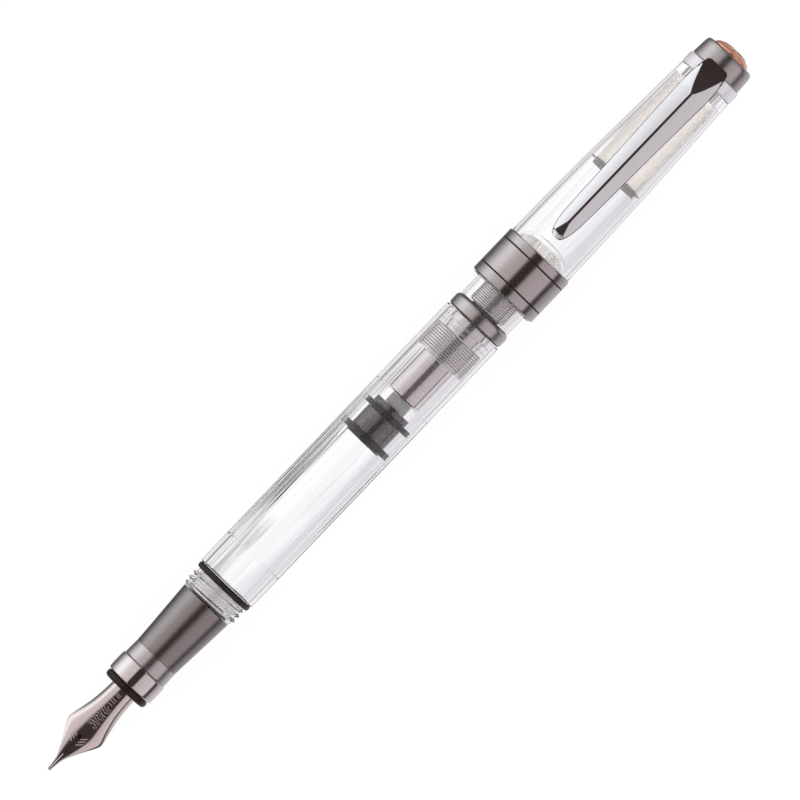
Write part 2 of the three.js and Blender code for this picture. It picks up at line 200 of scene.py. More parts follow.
def smoothstep(t):
    t = min(max(t, 0), 1)
    return t * t * (3 - 2 * t)


# ---- material helpers -----------------------------------------------------------------------
def add_node(tree, kind, **settings):
    made = tree.nodes.new(kind)
    for key, value in settings.items():
        setattr(made, key, value)
    return made


class Shader:
    """A material's node tree, with short calls for what the finishes below share."""

    def __init__(self, name, **values):
        self.material = bpy.data.materials.new(name)
        self.material.use_nodes = True
        self.tree = self.material.node_tree
        self.bsdf = self.tree.nodes["Principled BSDF"]
        for key, value in values.items():
            self.bsdf.inputs[key.replace("_", " ")].default_value = value
        self.place = self.node("ShaderNodeTexCoord").outputs["Object"]

    def node(self, kind, **settings):
        return add_node(self.tree, kind, **settings)

    def link(self, source, target):
        self.tree.links.new(source, target)

    def stretched(self, scale):
        mapping = self.node("ShaderNodeMapping")
        mapping.inputs["Scale"].default_value = scale
        self.link(self.place, mapping.inputs["Vector"])
        return mapping.outputs["Vector"]

    def noise(self, scale, detail=4.0, roughness=0.55):
        """Noise with its scale in lumps per millimetre along x, y and z."""
        made = self.node("ShaderNodeTexNoise")
        made.inputs["Scale"].default_value = 1.0
        made.inputs["Detail"].default_value = detail
        made.inputs["Roughness"].default_value = roughness
        self.link(self.stretched([v / MM for v in scale]), made.inputs["Vector"])
        return made.outputs["Fac"]

    def ranged(self, source, low, high, start=0.3, end=0.7):
        made = self.node("ShaderNodeMapRange")
        made.inputs["From Min"].default_value = start
        made.inputs["From Max"].default_value = end
        made.inputs["To Min"].default_value = low
        made.inputs["To Max"].default_value = high
        self.link(source, made.inputs["Value"])
        return made.outputs["Result"]

    def tinted(self, source, dark, light, start=0.3, end=0.7):
        ramp = self.node("ShaderNodeValToRGB")
        ramp.color_ramp.elements[0].position = start
        ramp.color_ramp.elements[0].color = (*dark, 1)
        ramp.color_ramp.elements[1].position = end
        ramp.color_ramp.elements[1].color = (*light, 1)
        self.link(source, ramp.inputs["Fac"])
        return ramp.outputs["Color"]

    def colour(self, source):
        self.link(source, self.bsdf.inputs["Base Color"])

    def rough(self, source):
        self.link(source, self.bsdf.inputs["Roughness"])

    def bump(self, source, depth):
        made = self.node("ShaderNodeBump")
        made.inputs["Distance"].default_value = depth * MM
        self.link(source, made.inputs["Height"])
        self.link(made.outputs["Normal"], self.bsdf.inputs["Normal"])


def clear_acrylic():
    """Polished clear acrylic with the faintest haze of fine handling marks."""
    tint = (0.99, 0.99, 0.995)
    m = Shader("clear_acrylic", IOR=1.49, Transmission_Weight=1.0)
    haze = m.noise((0.15, 0.6, 0.6))
    m.rough(m.ranged(haze, 0.0, 0.025, 0.45, 0.75))
    m.colour(m.tinted(haze, [v * 0.985 for v in tint], tint))
    return m.material


def metal(name, dark, light, rough, grain=(6, 0.4, 0.4), depth=0.0015, spread=0.06):
    """Metal turned on a lathe: fine rings of tone, gloss and relief along the pen."""
    m = Shader(name, Metallic=1.0)
    rings = m.noise(grain, detail=6, roughness=0.7)
    m.colour(m.tinted(rings, dark, light))
    m.rough(m.ranged(rings, max(rough - spread, 0.015), rough + spread))
    m.bump(rings, depth)
    return m.material


def plastic(name, dark, light, rough, grain=2.0, depth=0.004, **values):
    """Moulded plastic or rubber: a faint mottle and a fine skin texture."""
    m = Shader(name, **values)
    mottle = m.noise((grain, grain, grain), detail=5)
    m.colour(m.tinted(mottle, dark, light))
    m.rough(m.ranged(mottle, rough - 0.06, rough + 0.08))
    m.bump(m.noise((grain * 7,) * 3, detail=2), depth)
    return m.material


CLEAR = clear_acrylic()
GUNMETAL = metal("gunmetal_polished", (0.53, 0.5, 0.505), (0.6, 0.57, 0.575), 0.17)
SATIN = metal("gunmetal_satin", (0.26, 0.24, 0.24), (0.46, 0.43, 0.43), 0.27, (9, 5, 5), 0.01)
# Lit copies of one gunmetal: the grip's front band, the collar and the finial get lighter base
# tones of their own, painted light set to how bright each piece looks under this stage.
GUNMETAL_LIT_BAND = metal("gunmetal_band_painted_light", (0.6, 0.57, 0.58), (0.7, 0.67, 0.68), 0.26, (7, 1, 1))
GUNMETAL_LIT_COLLAR = metal("gunmetal_collar_painted_light", (0.58, 0.56, 0.565), (0.66, 0.64, 0.645), 0.26)
GUNMETAL_LIT_FINIAL = metal("gunmetal_finial_painted_light", (0.54, 0.51, 0.515), (0.62, 0.59, 0.595), 0.27)
# The section's inner screw: part metal, near white, with a faint painted glow from emission that
# lightens it behind the clear barrel.
THREAD_METAL_GLOW = plastic(
    "thread_metal_painted_glow", (0.93, 0.91, 0.92), (0.98, 0.96, 0.97), 0.3, 1.0, 0.002, Metallic=0.4,
    Emission_Color=(1, 0.97, 0.97, 1), Emission_Strength=0.08,
)
CHROME = metal("chrome", (0.84, 0.8, 0.8), (0.88, 0.84, 0.84), 0.04, (1, 0.3, 0.3), 0.0003, 0.02)
INNER_METAL = metal("drive_metal", (0.74, 0.71, 0.72), (0.82, 0.79, 0.8), 0.16, (5, 0.4, 0.4))
# Painted shade for the floors of the grooves between the ribs of the connector and the knob core.
RIB_GROOVE_SHADE = plastic("rib_groove_painted_shade", (0.4, 0.37, 0.38), (0.46, 0.43, 0.44), 0.4)
BLACK = plastic(
    "black_plastic", (0.014, 0.0075, 0.007), (0.022, 0.013, 0.012), 0.3, Specular_IOR_Level=0.3,
)
RUBBER = plastic(
    "black_rubber", (0.014, 0.008, 0.0075), (0.026, 0.017, 0.016), 0.42, 3.0, 0.008,
    Specular_IOR_Level=0.35,
)
SEAL = plastic(
    "seal_rubber", (0.007, 0.005, 0.0065), (0.013, 0.01, 0.012), 0.28, 1.0, 0.003,
    Specular_IOR_Level=0.15,
)
ROD = plastic("rod_plastic", (0.46, 0.44, 0.46), (0.54, 0.52, 0.54), 0.35)
GREY_SEAL = plastic(
    "inner_seal", (0.62, 0.6, 0.61), (0.7, 0.68, 0.69), 0.3, Transmission_Weight=0.6,
)
# Frosted plastic of the inner cap and the knob's crown, with a painted glow from emission that
# keeps it light behind the clear cap.
FROSTED_GLOW = plastic(
    "frosted_inner_cap_painted_glow", (0.97, 0.94, 0.91), (0.99, 0.965, 0.94), 0.4, 0.5, 0.002,
    Transmission_Weight=0.85, IOR=1.3, Emission_Color=(1, 0.95, 0.9, 1), Emission_Strength=0.09,
)
CLIP_RING = plastic(
    "clip_ring_satin", (0.82, 0.8, 0.86), (0.9, 0.88, 0.93), 0.3, 0.8, 0.002, Metallic=0.35,
)
PISTON = plastic(
    "piston_smoke", (0.13, 0.118, 0.128), (0.17, 0.155, 0.168), 0.09, 0.6, 0.001, Metallic=1.0,
)


# ---- nib ------------------------------------------------------------------------------------
SHEET = 0.32  # thickness of the nib's metal
BREATHER = 8.2  # station of the breather hole
BREATHER_R = 0.42
SLIT = 0.045  # half width of the slit
nib_half_width = smooth_curve(
    [(0, 0.26), (0.5, 0.34), (1.4, 0.42), (3.2, 0.8), (6, 2.15), (9, 3.8), (9.8, 3.95),
     (12, 3.5), (15, 2.92), (19, 2.62), (30, 2.6)]
)
crown_radius = smooth_curve([(0, 5.0), (3, 12.0), (9, 12.5), (14, 9.0), (19, 6.6), (30, 6.4)])


def nib_crown(s):
    return 2.5 - 2.2 * max(0.0, 1 - s / 14) ** 2


def nib_top(s, y):
    share = abs(y) / nib_half_width(s)
    bend = 0.1 + 1.3 * smoothstep((s - 3) / 14)
    return nib_crown(s) - y * y / (2 * crown_radius(s)) - bend * share**6


def nib_inner_edge(s):
    """Half of the opening along the centre line: the slit, the breather hole, then none."""
    hole = BREATHER_R**2 - (s - BREATHER) ** 2
    if hole > 0:
        return max(math.sqrt(hole), SLIT if s < BREATHER else 0)
    return SLIT if s < BREATHER else 0.0


def make_nib():
    bm = bmesh.new()
    hole = [BREATHER - BREATHER_R * math.cos(math.pi * k / 12) for k in range(13)]
    stations = steps_between(0, 7.6, 38) + hole + steps_between(8.8, station("nib", 1), 60)
    shares = [math.sin(math.pi / 2 * k / 14) for k in range(15)]
    for side in (1, -1):
        rings = []
        for s in stations:
            inner, outer = nib_inner_edge(s), nib_half_width(s)
            ys = [inner + (outer - inner) * share for share in shares]
            top = [(s, side * y, nib_top(s, y)) for y in ys]
            low = [(s, side * y, nib_top(s, y) - SHEET) for y in ys]
            rings.append(top + low[::-1])
        made = [[bm.verts.new(place(*p)) for p in ring] for ring in rings]
        count = len(made[0])
        for i in range(len(made) - 1):
            closed = nib_inner_edge(stations[i]) > 0 or nib_inner_edge(stations[i + 1]) > 0
            for k in range(count if closed else count - 1):
                n = (k + 1) % count
                bm.faces.new((made[i][k], made[i][n], made[i + 1][n], made[i + 1][k]))
        bm.faces.new(made[0])
        bm.faces.new(made[-1])
    finish_mesh("nib", "barrel", bm, nib_steel(), ("nib",))


def nib_steel():
    """Polished steel with scrolls and bars engraved down the middle, and a pair of chevrons."""
    m = Shader("nib_steel", Metallic=1.0)
    split = m.node("ShaderNodeSeparateXYZ")
    m.link(m.place, split.inputs["Vector"])

    def calc(kind, a, b=None, c=None):
        made = m.node("ShaderNodeMath", operation=kind)
        for socket, value in zip(made.inputs, (a, b, c)):
            if value is None:
                continue
            if isinstance(value, (int, float)):
                socket.default_value = value
            else:
                m.link(value, socket)
        return made.outputs["Value"]

    s = calc("DIVIDE", calc("SUBTRACT", split.outputs["X"], TIP_X), MM)
    y = calc("ABSOLUTE", calc("DIVIDE", split.outputs["Y"], MM))

    def inside(value, low, high, edge=0.06):
        up = calc("SUBTRACT", value, low)
        down = calc("SUBTRACT", high, value)
        nearest = calc("MINIMUM", up, down)
        made = calc("DIVIDE", nearest, edge)
        return calc("MINIMUM", calc("MAXIMUM", made, 0.0), 1.0)

    def line(value, at, width):
        return inside(value, at - width, at + width, 0.04)

    # scrolls: rings around points strung along the centre line, broken up by their own phase
    wave = m.node("ShaderNodeTexWave", wave_type="RINGS", rings_direction="SPHERICAL")
    wave.inputs["Scale"].default_value = 0.62
    wave.inputs["Distortion"].default_value = 7.0
    wave.inputs["Detail"].default_value = 1.0
    wave.inputs["Detail Scale"].default_value = 1.6
    m.link(m.stretched((1 / MM, 1 / MM, 0.0)), wave.inputs["Vector"])
    scroll = calc("GREATER_THAN", wave.outputs["Fac"], 0.8)
    scroll = calc("MULTIPLY", scroll, inside(s, 11.0, 15.6))
    bars = None
    for at in (16.2, 16.8, 17.3, 18.1, 18.5):
        one = calc("MULTIPLY", line(s, at, 0.1), inside(y, -1.0, 0.5))
        bars = one if bars is None else calc("MAXIMUM", bars, one)
    scroll = calc("MAXIMUM", scroll, bars)
    limit = calc("SUBTRACT", 1.32, calc("MULTIPLY", calc("SUBTRACT", s, 10.0), 0.075))
    scroll = calc("MULTIPLY", scroll, calc("LESS_THAN", y, limit))
    chevrons = None
    for at in (6.1, 6.75, 7.4):
        one = line(calc("SUBTRACT", s, y), at, 0.13)
        one = calc("MULTIPLY", one, inside(y, 0.55, 1.45))
        chevrons = one if chevrons is None else calc("MAXIMUM", chevrons, one)
    engraved = calc("MAXIMUM", scroll, chevrons)

    brushed = m.noise((1.2, 5, 5), detail=5)
    mix = m.node("ShaderNodeMix", data_type="RGBA")
    m.link(engraved, mix.inputs["Factor"])
    m.link(m.tinted(brushed, (0.86, 0.79, 0.78), (0.91, 0.84, 0.83)), mix.inputs["A"])
    mix.inputs["B"].default_value = (0.82, 0.76, 0.76, 1)
    m.colour(mix.outputs["Result"])
    polish = m.ranged(brushed, 0.05, 0.1)
    m.rough(calc("ADD", polish, calc("MULTIPLY", engraved, 0.5)))
    m.bump(calc("MULTIPLY", engraved, -1.0), 0.02)
    return m.material


def make_tipping():
    """The hard ball welded under the nib's point, split by the slit."""
    bm = bmesh.new()
    for side in (1, -1):
        bmesh.ops.create_uvsphere(
            bm, u_segments=24, v_segments=14, radius=1.0,
            matrix=Matrix.Translation(place(0.42, side * 0.16, nib_top(0.4, 0.1) - 0.3))
            @ Matrix.Diagonal((0.4 * MM, 0.15 * MM, 0.3 * MM, 1)),
        )
    tip = metal("tipping", (0.7, 0.67, 0.66), (0.8, 0.77, 0.76), 0.15, (4, 4, 4))
    finish_mesh("nib_tipping", "barrel", bm, tip)


def make_feed():
    """The comb-cut feed under the nib: a slim keel with thin fins."""
    front, rear = station("feed", 0), 31.0
    gap = 0.14

    def ring(s, swell=0.0):
        ripe = min(1, (s - front) / 11)
        width = 0.6 + 1.5 * ripe - (0.35 - swell)
        depth = 0.5 + 4.0 * ripe**0.7 - (0.5 - 1.4 * swell)
        top = nib_crown(s) - SHEET - gap
        side = nib_top(s, width) - SHEET - gap
        waist = min(side - 0.1, top - 0.45 * depth)
        below = []
        for k in range(17):
            angle = math.pi * (1 + k / 16)
            reach = waist - top + depth
            below.append((s, width * math.cos(angle), waist + reach * math.sin(angle)))
        return below + [(s, width, side), (s, 0, top), (s, -width, side)]

    bm = bmesh.new()
    loft(bm, [ring(s) for s in steps_between(front + 0.3, rear, 40)])
    for k in range(13):
        at = 10.2 + k * 0.68
        fin = [(at, 0.3), (at + 0.05, 0.35), (at + 0.33, 0.35), (at + 0.38, 0.3)]
        loft(bm, [ring(*step) for step in fin])
    loft(bm, [ring(19.2, 0.3), ring(rear, 0.3)])
    post = station("feed", 1)
    revolve(bm, [(rear - 1, 0), (rear - 1, 1.45), (post, 1.45), (post, 0)], 32)
    finish_mesh("feed", "barrel", bm, BLACK, ("feed",))


# ---- grip section ---------------------------------------------------------------------------
LIP, RING, GRIP, BARREL = 19.5, 20.92, 25.0, 41.05


def make_section():
    turned("section_liner", "barrel", [
        (LIP, 3.5), (LIP, 4.1), (LIP + 0.2, 4.5), (LIP + 0.65, 4.66), (RING - 0.25, 4.6),
        (RING - 0.06, 4.35), (RING - 0.06, 3.96), (BARREL + 0.05, 3.96), (BARREL + 0.05, 4.4),
        (41.7, 4.4), (41.7, 3.0), (36, 3.0), (36, 3.5),
    ], BLACK, ("section_liner",))
    screw = []
    for k in range(4):
        s = 41.85 + k * 0.8
        screw += [(s, 4.42), (s + 0.1, 4.5), (s + 0.55, 4.5), (s + 0.65, 4.42)]
    turned("section_thread", "barrel", [
        (41.72, 3.3), (41.72, 4.42), *screw, (45.0, 4.42), (45.0, 3.3),
    ], THREAD_METAL_GLOW, soft=0.03)
    turned("section_ring", "barrel", [
        (RING, 4.1), (RING, 4.7), (RING + 0.25, 4.9), (RING + 1.2, 4.94), (GRIP - 1.2, 4.94),
        (GRIP - 0.3, 4.9), (GRIP - 0.05, 4.7), (GRIP - 0.05, 4.1),
    ], CHROME, ("section_ring",), soft=0.25)
    flare = smooth_curve([(28, 4.58), (32, 4.8), (36.5, 5.07), (40.9, 5.33)])
    turned("grip", "barrel", [
        (28.02, 4.1), (28.02, 4.56), (28.1, 4.58),
        *[(s, flare(s)) for s in steps_between(28.6, 40.7, 16)], (40.9, 5.3), (40.9, 4.1),
    ], SATIN, ("grip",), soft=0.08)
    turned("grip_front_band", "barrel", [
        (GRIP, 4.1), (GRIP, 4.6), (GRIP + 0.12, 4.66), (28.0, 4.58), (28.0, 4.1),
    ], GUNMETAL_LIT_BAND, soft=0.06)
    turned("nib_housing", "barrel", [
        (20.0, 3.0), (20.0, 3.36), (34.5, 3.36), (34.5, 2.4), (33.3, 2.4), (33.3, 3.0),
    ], BLACK, ("nib_housing",), sides=FINE)
    o_ring("section_seal", 45.15, 45.85, 3.62, 4.55)


def o_ring(name, s0, s1, r0, r1):
    """A rubber ring of the barrel between two stations and two radii."""
    half, thick = (s1 - s0) / 2, (r1 - r0) / 2
    loop = []
    for k in range(20):
        a = 2 * math.pi * k / 20
        loop.append(((s0 + s1) / 2 + half * math.cos(a), (r0 + r1) / 2 + thick * math.sin(a)))
    turned(name, "barrel", loop, RUBBER, (name,), soft=0)


# ---- barrel ---------------------------------------------------------------------------------
FACETS = 10
FACET_DEPTH = 0.35  # how far the outside goes from round to flat-sided
FACET_FRONT, FACET_REAR = 53.2, 91.7
BARREL_R = 6.24
THREAD_ROOT, THREAD_CREST, THREAD_PITCH = 5.4, 5.84, 1.16
BORE = 5.3  # radius of the ink chamber


def faceted(s):
    """The barrel's outside radius by angle: flats that swell in from both ends of the cut zone."""
    along = (s - FACET_FRONT) / (FACET_REAR - FACET_FRONT)
    swell = max(math.sin(math.pi * min(max(along, 0), 1)), 0) ** 0.5
    blend = FACET_DEPTH * (0.2 + 0.8 * swell)
    pitch = 2 * math.pi / FACETS

    def radius(angle):
        off = (angle + pitch / 2) % pitch - pitch / 2
        flat = (BARREL_R + 0.02) * math.cos(pitch / 2) / math.cos(off)
        return BARREL_R + blend * (flat - BARREL_R)

    return radius


def threaded(s, start, end, root, crest, pitch):
    """The outside radius by angle of a screw thread that fades in and out at its ends."""
    fade = smoothstep((s - start) / (pitch * 0.5)) * smoothstep((end - s) / (pitch * 0.5))

    def radius(angle):
        turn = ((s - start) / pitch - angle / (2 * math.pi)) % 1.0
        ridge = max(0.0, 1 - abs(turn - 0.5) / 0.34)
        return root + (crest - root) * fade * smoothstep(ridge * 1.25)

    return radius


def make_barrel():
    start, end = 41.25, 44.8
    outside = [(BARREL, THREAD_ROOT - 0.1), (BARREL + 0.1, THREAD_ROOT)]
    outside += [
        (s, threaded(s, start, end, THREAD_ROOT, THREAD_CREST, THREAD_PITCH))
        for s in steps_between(start, end, 60)
    ]
    outside += [(44.9, THREAD_ROOT), (44.92, 5.34), (46.13, 5.34), (46.14, 6.1), (46.25, 6.2)]
    outside += [(50.0, BARREL_R), (FACET_FRONT - 0.2, BARREL_R)]
    outside += [(FACET_FRONT - 0.1, BARREL_R - 0.05)]
    outside += [(s, faceted(s)) for s in steps_between(FACET_FRONT, FACET_REAR, 48)]
    outside += [(FACET_REAR + 0.1, BARREL_R - 0.045), (FACET_REAR + 0.2, BARREL_R)]
    outside += [(100.0, BARREL_R), (109.9, 6.2), (110.15, 6.05)]
    inside = [(110.15, BORE + 0.1), (109.9, BORE), (100.0, BORE), (75.0, BORE), (53.0, BORE),
              (48.0, BORE - 0.05), (45.35, BORE - 0.12), (45.3, 4.66), (BARREL, 4.66)]
    bm = bmesh.new()
    revolve(bm, outside + inside, ROUND)
    finish_mesh("barrel", "barrel", bm, CLEAR, ("barrel",), sharp=math.radians(14))
    o_ring("cap_seat_seal", 44.98, 46.1, 5.38, 6.1)


# ---- piston ---------------------------------------------------------------------------------
def make_piston():
    grooves = []
    for a, b in ((81.6, 82.95), (87.2, 88.4)):
        grooves += [(a, 3.84), (a, 3.3), (b, 3.3), (b, 3.84)]
    turned("piston_head", "piston", [
        (81.3, 0), (81.3, 3.84), *grooves, (89.6, 3.84), (89.6, 1.6), (83.9, 1.6), (83.9, 0),
    ], PISTON, ("piston_head",), soft=0.08, sides=FINE)
    for name, a, b in (("piston_seal_front", 81.65, 82.9), ("piston_seal_rear", 87.25, 88.35)):
        mid = (a + b) / 2
        turned(name, "piston", [
            (a, 3.4), (a, 5.12), (a + 0.2, 5.22), (mid - 0.15, 5.05), (mid + 0.15, 5.05),
            (b - 0.2, 5.22), (b, 5.12), (b, 3.4),
        ], SEAL, (name,), soft=0.12, sides=FINE)
    make_rod()


def make_rod():
    """The rod: a neck, then two steep screw ridges left standing beside two flats."""
    lead, flat = 8.0, 1.5
    start, end = 91.7, station("piston_rod", 1)
    rings = []
    for s in steps_between(start, end, 176):
        ring = []
        for k in range(48):
            angle = 2 * math.pi * k / 48
            turn = (angle - 2 * math.pi * s / lead) % math.pi
            off = min(turn, math.pi - turn)
            r = 1.62 + 0.5 * smoothstep((math.radians(36) - off) / math.radians(14))
            y, z = r * math.cos(angle), r * math.sin(angle)
            ring.append((s, y, min(max(z, -flat), flat)))
        rings.append(ring)
    bm = bmesh.new()
    loft(bm, rings)
    revolve(bm, [
        (84, 0), (84, 1.5), (89.65, 1.5), (89.65, 2.1), (89.75, 2.18), (91.7, 2.18), (91.75, 2.1),
        (91.75, 0),
    ], 48)
    finish_mesh("piston_rod", "piston", bm, ROD, ("piston_rod",))


# ---- drive and knob -------------------------------------------------------------------------
def arc(s, r, reach_s, reach_r, angles, fullness=1.0):
    """Part of an oval round (s, r), from angle 0 straight out from the pen's axis."""
    return [
        (s + reach_s * math.sin(a), r + reach_r * math.cos(a) ** fullness) for a in angles
    ]


def make_drive():
    fine = []
    pitch = 0.5
    for k in range(10):
        s = 101.7 + k * pitch
        fine += [(s, 5.08), (s + 0.06, 5.16), (s + 0.3, 5.16), (s + 0.36, 5.08)]
    bm = bmesh.new()
    revolve(bm, softened([
        (92.0, 2.35), (92.0, 3.5), (92.2, 3.7), (101.2, 3.7), (101.3, 5.1), (101.6, 5.2), *fine,
        (106.75, 5.05), (106.9, 3.9), (107.5, 3.9), (107.55, 5.15), (107.7, 5.15), (107.75, 4.0),
        (108.6, 4.0), (108.65, 5.15), (108.8, 5.15), (108.85, 4.4), (110.15, 4.4), (110.15, 3.3),
        (93.4, 3.3), (93.4, 2.35),
    ], 0.02), ROUND)
    connector = finish_mesh("connector", "barrel", bm, INNER_METAL, ("connector",))
    paint_groove_shade(connector, 101.65, 106.7, 5.1, RIB_GROOVE_SHADE)
    front = arc(110.85, 5.45, -0.57, 0.6, steps_between(1.5, 0, 8))
    rear = arc(112.1, 5.0, 1.08, 1.08, steps_between(0, 1.5, 10))
    turned("collar", "barrel", [
        (110.27, 3.3), *front, *rear, (113.2, 3.3),
    ], GUNMETAL_LIT_COLLAR, ("collar",), soft=0)
    turned("spindle", "knob", [
        (93.8, 2.4), (93.8, 3.1), (118, 3.1), (118, 2.4),
    ], BLACK, ("spindle",), sides=FINE)


def make_knob():
    ribs = []
    for k in range(32):
        s = 113.8 + k * 0.42
        ribs += [(s, 3.97), (s + 0.05, 4.06), (s + 0.24, 4.06), (s + 0.29, 3.97)]
    core = turned("knob_core", "knob", [
        (113.55, 3.25), (113.55, 3.9), *ribs, (127.8, 3.8), (127.9, 0), (127.3, 0), (127.3, 2.4),
        (118.05, 2.4), (118.05, 3.25),
    ], INNER_METAL, ("knob_core",), soft=0)
    paint_groove_shade(core, 113.7, 127.3, 3.99, RIB_GROOVE_SHADE)
    outer = arc(127.2, 0, 3.25, 5.62, steps_between(0.1, 1.45, 12), 0.75)
    inner = arc(127.2, 0, 2.7, 5.1, steps_between(1.45, 0.1, 12), 0.75)
    turned("knob_shell", "knob", [
        (113.3, 5.05), (113.3, 5.62), (127.3, 5.62), *outer, (130.48, 0), (129.92, 0), *inner,
        (127.2, 5.08),
    ], CLEAR, ("knob_shell",), soft=0.03)
    make_crown()


def make_crown():
    """The castellated end of the knob's core, seen through the cap."""
    bm = bmesh.new()
    teeth = 14
    for k in range(teeth):
        mid = 2 * math.pi * k / teeth
        wide = 2 * math.pi / teeth * 0.3
        spread = steps_between(mid - wide, mid + wide, 4)
        rings = []
        for s in (127.95, 129.1):
            outer = [(s, 4.05 * math.sin(a), 4.05 * math.cos(a)) for a in spread]
            inner = [(s, 3.3 * math.sin(a), 3.3 * math.cos(a)) for a in reversed(spread)]
            rings.append(outer + inner)
        loft(bm, rings)
    finish_mesh("knob_crown", "knob", bm, FROSTED_GLOW)


# ---- cap ------------------------------------------------------------------------------------
LIP_FRONT, BAND, BAND_REAR, CAP_REAR = 117.42, 117.7, 127.6, 170.4
BAND_LINES = (119.85, 125.7)


def make_cap():
    start, end = 118.2, 122.6
    thread = [
        (s, threaded(s, start, end, 5.98, 5.76, THREAD_PITCH))
        for s in reversed(steps_between(start, end, 50))
    ]
    outer = smooth_curve([(127.8, 6.82), (138, 6.68), (148, 6.46), (158, 6.13), (CAP_REAR, 5.68)])
    inner = smooth_curve([(128, 6.0), (138, 5.98), (148, 5.85), (158, 5.5), (168.4, 5.1)])
    profile = [(LIP_FRONT, 6.1), (LIP_FRONT, 6.45), (LIP_FRONT + 0.08, 6.56),
               (BAND - 0.05, 6.56), (BAND - 0.04, 6.5),
               (BAND_REAR + 0.04, 6.5), (BAND_REAR + 0.05, 6.78)]
    profile += [(s, outer(s)) for s in steps_between(127.9, CAP_REAR - 0.05, 28)]
    profile += [(CAP_REAR, 5.6), (CAP_REAR, 3.62), (168.4, 3.62), (168.4, 5.1)]
    profile += [(s, inner(s)) for s in reversed(steps_between(123.2, 168.3, 28))]
    profile += thread + [(117.5, 6.0)]
    bm = bmesh.new()
    revolve(bm, profile, ROUND)
    finish_mesh("cap_body", "cap", bm, CLEAR, ("cap_body",), sharp=math.radians(20))
    r = BAND_R
    grooves = []
    for s in BAND_LINES:
        grooves += [(s - 0.15, r), (s - 0.1, r - 0.3), (s + 0.1, r - 0.3), (s + 0.15, r)]
    turned("cap_band", "cap", [
        (BAND, 6.6), (BAND, r - 0.3), (BAND + 0.14, r - 0.06), (BAND + 0.28, r), *grooves,
        (BAND_REAR - 0.28, r), (BAND_REAR - 0.14, r - 0.06), (BAND_REAR, r - 0.3), (BAND_REAR, 6.6),
    ], GUNMETAL, ("cap_band",), soft=0.03)
    for name, s in zip(("cap_band_line_front", "cap_band_line_rear"), BAND_LINES):
        turned(name, "cap", [
            (s - 0.12, r - 0.32), (s - 0.12, r - 0.03), (s + 0.12, r - 0.03), (s + 0.12, r - 0.32),
        ], BLACK, soft=0)
    turned("inner_cap", "cap", [
        (147.6, 4.3), (147.6, 4.95), (166, 4.88), (168.2, 4.5), (168.2, 0), (167.2, 0),
        (167.2, 4.0), (165.5, 4.3),
    ], FROSTED_GLOW, ("inner_cap",), soft=0.1)
    turned("inner_cap_seal", "cap", [
        (146.2, 4.3), (146.2, 4.9), (146.9, 4.95), (147.0, 5.75), (147.25, 5.75), (147.35, 4.95),
        (147.55, 4.9), (147.55, 4.3),
    ], GREY_SEAL, ("inner_cap_seal",), soft=0.06)
    turned("clip_ring", "cap", [
        (170.45, 3.6), (170.45, 5.6), (170.7, 5.78), (172.7, 5.78), (172.95, 5.6), (172.95, 3.6),
    ], CLIP_RING, ("clip_ring",), soft=0.1)
    turned("finial", "cap", [
        (168.5, 0), (168.5, 3.45), (173, 3.45), (173, 5.3), (173.15, 5.45), (176.2, 5.28),
        (176.75, 5.1), (177, 4.8), (177, 3.95), (176.4, 3.95), (176.4, 0),
    ], GUNMETAL_LIT_FINIAL, ("finial",), soft=0.08)
    make_jewel()


def make_jewel():
    """The copper-coloured jewel: a low dome with a raised rosette."""
    bm = bmesh.new()
    girdle, petals = 3.8, 8

    def ring(r, station_at):
        made = []
        for k in range(ROUND):
            angle = 2 * math.pi * k / ROUND
            spot = place(station_at(r, angle), -r * math.sin(angle), r * math.cos(angle))
            made.append(bm.verts.new(spot))
        return made

    def dome(r, angle):
        relief = 0.13 * math.cos(petals * angle) * smoothstep(r / 1.2) * smoothstep((3.1 - r) / 0.8)
        relief += 0.06 * smoothstep(1 - abs(r - 3.25) / 0.16)
        return min(177.09 + 1.33 * math.sqrt(1 - (r / 3.85) ** 2) + relief, 178.49)

    stack = [ring(girdle, lambda r, angle, s=s: s) for s in (176.45, 177.0)]
    stack += [ring(r, dome) for r in steps_between(girdle, 0.12, 26)]
    top = bm.verts.new(place(178.42, 0, 0))
    for a, b in zip(stack, stack[1:]):
        for k in range(ROUND):
            n = (k + 1) % ROUND
            bm.faces.new((a[k], a[n], b[n], b[k]))
    for k in range(ROUND):
        bm.faces.new((stack[-1][k], stack[-1][(k + 1) % ROUND], top))
    bm.faces.new(stack[0])
    m = Shader("copper", Metallic=0.6, Coat_Weight=1.0, Coat_Roughness=0.03)
    cloud = m.noise((0.8, 0.8, 0.8), detail=5)
    m.colour(m.tinted(cloud, (0.92, 0.36, 0.21), (1.0, 0.54, 0.37)))
    m.rough(m.ranged(cloud, 0.08, 0.18))
    m.bump(m.noise((5, 5, 5)), 0.004)
    finish_mesh("jewel", "cap", bm, m.material, ("jewel",))


# ---- clip -----------------------------------------------------------------------------------
CLIP_FRONT, CLIP_REAR = station("clip", 0), station("clip", 1)
clip_half_width = smooth_curve(
    [(131.6, 0.5), (131.75, 0.86), (132.1, 1.2), (132.6, 1.45), (133.2, 1.65), (134.6, 1.93),
     (136.5, 2.13), (145, 2.4), (155, 2.68), (162, 2.9), (168, 3.03), (171.5, 2.8),
     (173.4, 2.45), (173.85, 2.25), (174.1, 1.9)]
)
clip_ridge = smooth_curve(
    [(131.6, 8.02), (131.9, 8.1), (132.4, 8.2), (133.0, 8.35), (136.2, 8.98), (145, 9.14),
     (155, 9.14), (162, 9.05), (167, 8.85), (171, 8.2), (174.1, 7.4)]
)
clip_eaves = smooth_curve(
    [(131.6, 7.4), (133.2, 7.7), (136.5, 7.95), (145, 7.98), (155, 7.9), (162, 7.75),
     (167, 7.45), (171, 7.1), (174.1, 6.8)]
)
